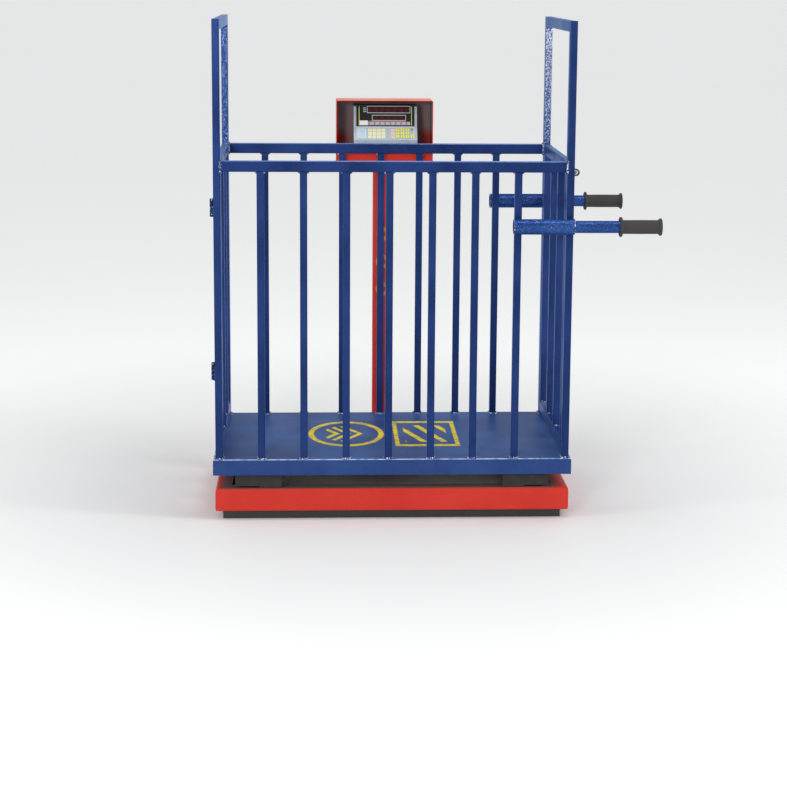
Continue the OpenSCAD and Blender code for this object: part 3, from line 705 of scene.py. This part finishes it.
grip_body = 0.019
grip_end = 0.0242
grip_swell = 0.0003
mouth_chamfer = 0.0012
mouth_wall = 0.001
flange_round = 0.0028
flange_land = 0.0014
flange_fillet = 0.0035
end_fillet = 0.004
end_start = 0.0115
end_shoulder = 0.002
end_round = 0.0025
end_dish = 0.012
tube_clear = 0.0001
for side in ("front", "rear"):
    low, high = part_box(f"{side}_handle_grip")
    tube_low, tube_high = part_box(f"{side}_handle_tube")
    length = high.x - low.x
    origin = Vector((low.x, (low.y + high.y) / 2, (low.z + high.z) / 2))
    flange = (high.z - low.z) / 2
    bore = (tube_high.z - tube_low.z) / 2 + tube_clear
    profile = (
        [(mouth_chamfer, bore), (0.0, bore + mouth_wall)]
        + arc(flange_round, flange - flange_round, flange_round, 180, 90)
        + arc(flange_round + flange_land, flange - flange_round, flange_round, 90, 0)
        + arc(3 * flange_fillet, grip_body + flange_fillet, flange_fillet, 180, 270)
        + [(length / 2, grip_body + grip_swell)]
        + arc(length - end_start, grip_body + end_fillet, end_fillet, 270, 330)
        + arc(length - 2 * end_shoulder, grip_end - end_shoulder, end_shoulder, 120, 90, 3)
        + arc(length - end_round, grip_end - end_round, end_round, 90, 0)
        + [(length, end_dish), (length - mouth_chamfer, 0.0)])
    grip = piece(f"{side}_grip", turned(profile, origin), rubber, f"{side}_handle")
    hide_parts(f"{side}_handle_grip")


# Indicator column: a red square steel tube behind the rear panel, welded to the bracket
# that bolts it to the base. Three worn yellow rings are painted on its front face.
column_low, column_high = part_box("indicator_column")
column_enamel, column_shader, column_place, column_axes, column_colour = enamel(
    "column_enamel", "#cc3126", "#e23c30", peel=0.2, rough=0.32)
mark_pitch = 0.085
mark_inner = 0.0115
mark_outer = 0.023
mark_start = deck_high.z + 4 * mark_pitch
mark_stop = deck_high.z + 7 * mark_pitch
mark_rag = 0.004
column_x = column_axes[0] - (column_low.x + column_high.x) / 2
mark_z = (((column_axes[2] - deck_high.z) / mark_pitch).math("FRACT") - 0.5) * mark_pitch
mark_at = (column_x * column_x + mark_z * mark_z).math("SQRT")
marks = (
    between(mark_at + noise(column_place, 90.0) * mark_rag, mark_inner, mark_outer, 0.0015)
    * between(column_axes[2], mark_start, mark_stop, 0.004)
    * below(column_axes[1], column_low.y + 0.00075, 0.00025)
    * ramp(noise(column_place, 50.0, 4.0), 0.33, 0.55))
feed(column_shader, {"Base Color": mix(marks, column_colour, paint("#ec9d2a"))})
dress(column_enamel, "indicator_column")

column_bead = 0.004
bracket_low, bracket_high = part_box("column_bracket")
column_runs = [
    weld_line(
        (x, bracket_high.y, bracket_low.z + column_bead),
        (x, bracket_high.y, bracket_high.z - column_bead), column_bead)
    for x in (column_low.x, column_high.x)]
column_welds = beads("column_welds", column_runs, red_enamel, "crate")


# Hood: a red box of folded steel sheet, open in front, over an apron that hides the column's head.
# Its red is painted brighter than the other reds, as painted light on the apron in the rails'
# shade.
# Inside it is painted grey as painted shade, with red left in the lower corners, and its top
# carries a painted highlight.
hood_low, hood_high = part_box("indicator_hood")
hood_enamel, hood_shader, hood_place, hood_axes, hood_colour = enamel(
    "hood_enamel", "#e83528", "#ef3c2e", peel=0.08, rough=0.34)
# Paint past the middle of the sheet's thickness is the inside's.
half_sheet = 0.001
hood_half = (hood_high.x - hood_low.x) / 2
hood_out = (hood_axes[0] - (hood_low.x + hood_high.x) / 2).math("ABSOLUTE")
# Painted shade: the inside is grey, with red in the lower corners where light reaches.
in_hood = (
    below(hood_out, hood_half - half_sheet, 0.0003)
    * below(hood_axes[2], hood_high.z - half_sheet, 0.0003)
    * between(hood_axes[1], hood_low.y + half_sheet, hood_high.y - half_sheet, 0.0004))
sideways = hood_out + noise(hood_place, 25.0) * 0.05
upwards = hood_axes[2] + noise(hood_place, 18.0) * 0.03
low_corner = ramp(sideways, hood_half - 0.03, hood_half + 0.01) * below(
    upwards, hood_low.z + 0.115, 0.025)
hood_inside_shade = mix(low_corner, paint("#917c7e"), paint("#af3630"))
# A painted highlight along the hood's top.
hood_top = ramp(hood_axes[2], hood_high.z - 0.0007, hood_high.z - 0.0002)
hood_top_highlight = hood_top * (0.15 + 0.5 * noise(hood_place, 12.0))
hood_colour = mix(hood_top_highlight, hood_colour, paint("#efd0b0"))
feed(hood_shader, {
    "Base Color": mix(in_hood, hood_colour, hood_inside_shade),
    "Roughness": 0.36 + 0.3 * in_hood})
dress(hood_enamel, "indicator_hood")


# Indicator case: a blue-grey plastic moulding and its rear cover, set in the hood.
# Its brow is painted dark as painted shade under the hood, and a green circuit board stands inside
# on the cover's posts.
case_low, case_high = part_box("indicator_case")
case_mid = (case_low.x + case_high.x) / 2
case_plastic, case_shader, case_place, case_axes = new_material("case_plastic")
case_grain = noise(case_place, 1500.0)
case_grime = ramp(noise(case_place, 25.0, 4.0), 0.45, 0.75)
# Painted shade along the case's brow, under the hood.
case_brow_shade = ramp(case_axes[2], case_high.z - 0.0045, case_high.z - 0.0035)
case_colour = mix(case_grime * 0.6, paint("#afbcc8"), paint("#8c979f"))
feed(case_shader, {
    "Base Color": mix(case_brow_shade, case_colour, paint("#323539")),
    "Roughness": 0.45 + 0.2 * case_grime,
    "Normal": bump(case_grain, 0.2, depth=0.0002)})
dress(case_plastic, "indicator_case", "indicator_back")

board_green, board_shader, _, board_axes = new_material("board_green")
tracks_a_metre = 140.0
tracks = between((board_axes[0] * tracks_a_metre).math("FRACT"), 0.2, 0.5, 0.05)
feed(board_shader, {
    "Base Color": mix(tracks, paint("#256740"), paint("#378b57")),
    "Roughness": 0.35 + 0.2 * tracks})
dress(board_green, "circuit_board")


# Display panel: a black plastic sheet on the case's upper slope, printed from behind.
# Its printing is plain fields and lines: places across are metres from the case's middle,
# and places up are shares of the panel's height.
def outline(across, up, wide, tall):
    """A thin printed frame round a rectangle on the panel or the film."""
    line_wide, line_tall = 0.0018, 0.03
    soft = (0.0004, 0.008)
    hole_wide = (wide[0] + line_wide, wide[1] - line_wide)
    hole_tall = (tall[0] + line_tall, tall[1] - line_tall)
    outer = patch(across, up, wide, tall, soft)
    return outer * (1.0 - patch(across, up, hole_wide, hole_tall, soft))


panel_low, panel_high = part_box("display_panel")
display_black, panel_shader, panel_place, panel_axes = new_material("display_black")
panel_x = panel_axes[0] - case_mid
panel_up = (panel_axes[2] - panel_low.z) / (panel_high.z - panel_low.z)
field_soft = (0.0006, 0.01)
side_lines = patch(
    panel_x.math("ABSOLUTE"), panel_up, (0.0782, 0.0805), (0.04, 0.97), (0.0004, 0.01))
strip = patch(panel_x, panel_up, (-0.053, 0.075), (0.05, 0.23), field_soft)
marks_a_metre = 62.0
strip_cell = (panel_x * marks_a_metre).math("FRACT")
strip_marks = patch(strip_cell, panel_up, (0.12, 0.8), (0.08, 0.2), (0.03, 0.015))
white_block = patch(panel_x, panel_up, (-0.078, -0.053), (0.05, 0.28), field_soft)
lamp_low = 0.68
lamps_a_panel = 11.0
lamp_cell = ((panel_up - lamp_low) * lamps_a_panel).math("FRACT")
lamps = between(lamp_cell, 0.15, 0.75, 0.06) * patch(
    panel_x, panel_up, (-0.0675, -0.0575), (lamp_low, 0.95), (0.0005, 0.01))
frame_lines = (
    outline(panel_x, panel_up, (-0.0555, 0.0755), (0.645, 0.995))
    + outline(panel_x, panel_up, (-0.0405, 0.0625), (0.27, 0.555))
    + patch(panel_x, panel_up, (-0.05, 0.06), (0.245, 0.262), (0.0006, 0.006)))
panel_smear = noise(panel_place, 30.0, 4.0)
panel_colour = mix(panel_smear * 0.3, paint("#18181b"), paint("#2d2e31"))
panel_colour = mix(side_lines, panel_colour, paint("#cccf5a"))
panel_colour = mix(strip * 0.9, panel_colour, paint("#a18f92"))
panel_colour = mix(strip * strip_marks * 0.6, panel_colour, paint("#e4ccce"))
panel_colour = mix(white_block, panel_colour, paint("#efeae6"))
panel_colour = mix(lamps * 0.7, panel_colour, paint("#c0c5c8"))
panel_colour = mix(frame_lines.math("MINIMUM", 1.0) * 0.85, panel_colour, paint("#cdd2d3"))
feed(panel_shader, {
    "Base Color": panel_colour,
    "Roughness": 0.2 + 0.25 * panel_smear,
    "IOR": 1.3})
dress(display_black, "display_panel")


# Display windows: two strips of dark red glossy plastic, set in the panel.
# The unlit cells of the digits show faintly behind them.
window_red, window_shader, window_place, window_axes = new_material("window_red")
cells_a_metre = 52.0
window_cell = ((window_axes[0] - case_mid) * cells_a_metre).math("FRACT")
window_cells = between(window_cell, 0.18, 0.8, 0.04)
window_smear = noise(window_place, 60.0, 3.0)
window_tone = window_cells * 0.5 + window_smear * 0.2
feed(window_shader, {
    "Base Color": mix(window_tone, paint("#330f14"), paint("#55161d")),
    "Roughness": 0.14 + 0.2 * window_smear,
    "IOR": 1.3})
dress(window_red, "display_windows")


# Keypad film: a printed plastic sheet stuck on the case's lower slope, round the digit keys.
# The function keys are printed on it and stand slightly raised, without words.
film_low, film_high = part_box("keypad_film")
keypad_film, film_shader, film_place, film_axes = new_material("keypad_film")
film_x = film_axes[0] - case_mid
film_up = (film_axes[2] - film_low.z) / (film_high.z - film_low.z)
cap_left = -0.054
cap_pitch = 0.0136
cap_columns = 4
row_low = 0.09
row_pitch = 0.275
rows = 3
cap_share = (0.1, 0.9)
column_cell = ((film_x - cap_left) / cap_pitch).math("FRACT")
row_cell = ((film_up - row_low) / row_pitch).math("FRACT")
in_rows = between(film_up, row_low, row_low + rows * row_pitch, 0.004)
in_caps = between(film_x, cap_left, cap_left + cap_columns * cap_pitch, 0.0003) * in_rows
key_caps = patch(column_cell, row_cell, cap_share, cap_share, (0.03, 0.03)) * in_caps
beside_caps = between(film_x, 0.003, 0.0135, 0.0004) * in_rows
word_line = (row_cell * 4.0).math("FRACT")
key_words = (
    patch(column_cell, word_line, (0.26, 0.74), (0.3, 0.62), (0.03, 0.08))
    * between(row_cell, 0.25, 0.75, 0.02) * (in_caps + beside_caps))
pink_caps = patch(film_x, row_cell, (0.0165, 0.0295), cap_share, (0.0005, 0.03)) * in_rows
spot = patch(film_x, film_up, (0.0775, 0.085), (0.7, 0.92), (0.0005, 0.015))
card = patch(film_x, film_up, (-0.0815, -0.0595), (0.15, 0.88), (0.0004, 0.01))
print_lines = (
    outline(film_x, film_up, (-0.087, 0.087), (0.0, 1.0))
    + outline(film_x, film_up, (-0.0825, -0.0585), (0.13, 0.9)))
film_wear = noise(film_place, 70.0, 4.0)
film_colour = mix(film_wear * 0.4, paint("#a1aeb5"), paint("#bbc6c8"))
film_colour = mix(card, film_colour, paint("#b5ccdc"))
film_colour = mix(key_caps, film_colour, paint("#efe7b1"))
film_colour = mix(key_words * 0.6, film_colour, paint("#7d8073"))
film_colour = mix(pink_caps, film_colour, paint("#debbb2"))
film_colour = mix(spot, film_colour, paint("#7f8889"))
film_colour = mix(print_lines.math("MINIMUM", 1.0) * 0.8, film_colour, paint("#e3ecef"))
feed(film_shader, {
    "Base Color": film_colour,
    "Roughness": 0.38 + 0.2 * film_wear,
    "Normal": bump(key_caps * 0.8 + film_wear * 0.2, 0.2, depth=0.0003)})
dress(keypad_film, "keypad_film")


# Digit keys: ten yellow plastic keys that stand through the case and press in square to its slope.
# Each has a plain digit printed on its face in dark ink.
key_yellow, key_shader, key_place, _ = new_material("key_yellow")
key_wear = noise(key_place, 320.0, 3.0)
feed(key_shader, {
    "Base Color": mix(key_wear * 0.5, paint("#efea40"), paint("#ded93b")),
    "Roughness": 0.4 + 0.2 * key_wear,
    "Normal": bump(key_wear, 0.15, depth=0.0002)})
key_ink, ink_shader, ink_place, _ = new_material("key_ink")
ink_wear = noise(ink_place, 900.0)
feed(ink_shader, {
    "Base Color": mix(ink_wear, paint("#2d2d31"), paint("#434347")),
    "Roughness": 0.5 + 0.2 * ink_wear})

# A digit lies on its key's face, which is found along the key's own travel.
digit_size = 0.0076
ink_half = 0.00008
ink_lift = 0.00006
press = next(joint for joint in frame["joints"] if joint["name"] == "digit_key_0_press")
outward = -Vector(press["axis"])
upward = Vector((0, 0, 1)) - outward * outward.z
upward.normalize()
turn = Matrix((upward.cross(outward), upward, outward)).transposed().to_4x4()
for digit in range(10):
    dress(key_yellow, f"key_{digit}")
    low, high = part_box(f"key_{digit}")
    middle = (low + high) / 2
    key_mesh = frame["nodes"][f"key_{digit}"].data
    reach = max((vert.co - middle).dot(outward) for vert in key_mesh.vertices)
    text = bpy.data.curves.new(f"digit_{digit}", "FONT")
    text.body = str(digit)
    text.size = digit_size
    text.align_x = "CENTER"
    text.align_y = "CENTER"
    text.extrude = ink_half
    mesh = meshed(text)
    mesh.transform(Matrix.Translation(middle + outward * (reach + ink_lift)) @ turn)
    piece(f"digit_{digit}", mesh, key_ink, f"digit_key_{digit}", smooth=False)


# Stage: a wide pale floor that takes the shadow, four soft lights and a faint sky.
# The floor's own glow starts away from the deck, so that the gap under it stays dark.
floor_half = 400.0
glow_start = 0.6
glow_full = 2.5
floor_shape = bmesh.new()
bmesh.ops.create_grid(floor_shape, x_segments=1, y_segments=1, size=floor_half)
floor_mesh = bpy.data.meshes.new("floor")
floor_shape.to_mesh(floor_mesh)
floor_shape.free()
floor_paint, floor_shader, floor_place, floor_axes = new_material("floor")
floor_cloud = noise(floor_place, 0.6)
floor_x = floor_axes[0] - deck_mid.x
floor_y = floor_axes[1] - deck_mid.y
away = ramp((floor_x * floor_x + floor_y * floor_y).math("SQRT"), glow_start, glow_full)
seen = [
    floor_place.node("LightPath", output=f"Is {kind} Ray")
    for kind in ("Camera", "Glossy", "Transmission")]
glow = away * seen[0].math("MAXIMUM", seen[1]).math("MAXIMUM", seen[2])
feed(floor_shader, {
    "Base Color": mix(floor_cloud * 0.6, paint("#f6f6f5"), paint("#efefee")),
    "Roughness": 0.75,
    "Emission Color": mix(glow, paint("#000000"), paint("#ffffff")),
    "Emission Strength": 0.25})
floor_mesh.materials.append(floor_paint)
floor = bpy.data.objects.new("floor", floor_mesh)
bpy.context.scene.collection.objects.link(floor)

world = bpy.data.worlds.new("studio")
world.use_nodes = True
feed(world.node_tree.nodes["Background"], {"Color": (0.97, 0.985, 1.0, 1.0), "Strength": 0.6})
bpy.context.scene.world = world


def softbox(name, at, towards, size, watts):
    """A rectangular soft light that faces a point."""
    light = bpy.data.lights.new(name, "AREA")
    light.shape = "RECTANGLE"
    light.size, light.size_y = size
    light.energy = watts
    made = bpy.data.objects.new(name, light)
    made.location = at
    made.rotation_mode = "QUATERNION"
    made.rotation_quaternion = (Vector(towards) - Vector(at)).to_track_quat("-Z", "Y")
    bpy.context.scene.collection.objects.link(made)


softbox("key", at=(-1.7, -5.0, 1.85), towards=(0.0, 0.0, 0.75), size=(0.8, 0.8), watts=68.0)
softbox("top", at=(0.3, -0.6, 4.0), towards=(0.0, 0.0, 0.0), size=(0.9, 0.9), watts=27.0)
softbox("right", at=(4.2, -1.6, 2.0), towards=(0.0, 0.0, 0.8), size=(0.8, 1.6), watts=53.0)
softbox("left", at=(-4.2, -1.8, 2.0), towards=(0.0, 0.0, 0.8), size=(0.8, 1.6), watts=34.0)


# Camera: a long lens a little to the left of the crate and above it, as the photograph was taken.
# Its yaw, pitch and roll turn it from level and square to the front.
lens = bpy.data.cameras.new("camera")
lens.sensor_width = 36.0
lens.lens = 89.41
lens.shift_x = -0.01626
lens.shift_y = -0.09212
lens.clip_end = 2000.0
camera = bpy.data.objects.new("camera", lens)
yaw = math.radians(2.825)
pitch = math.radians(10.034)
roll = math.radians(0.425)
eye_left = 0.2267
eye_back = 5.5925
eye_rise = 1.3285
eye = Vector((deck_mid.x - eye_left, deck_mid.y - eye_back, deck_high.z + eye_rise))
forward = Vector((
    math.sin(yaw) * math.cos(pitch), math.cos(yaw) * math.cos(pitch), -math.sin(pitch)))
level = Vector((math.cos(yaw), -math.sin(yaw), 0.0))
rise = level.cross(forward)
side_way = level * math.cos(roll) + rise * math.sin(roll)
up_way = rise * math.cos(roll) - level * math.sin(roll)
facing = Matrix((side_way, up_way, -forward)).transposed().to_4x4()
camera.matrix_world = Matrix.Translation(eye) @ facing
bpy.context.scene.collection.objects.link(camera)
bpy.context.scene.camera = camera
bpy.context.scene.view_settings.view_transform = "Standard"
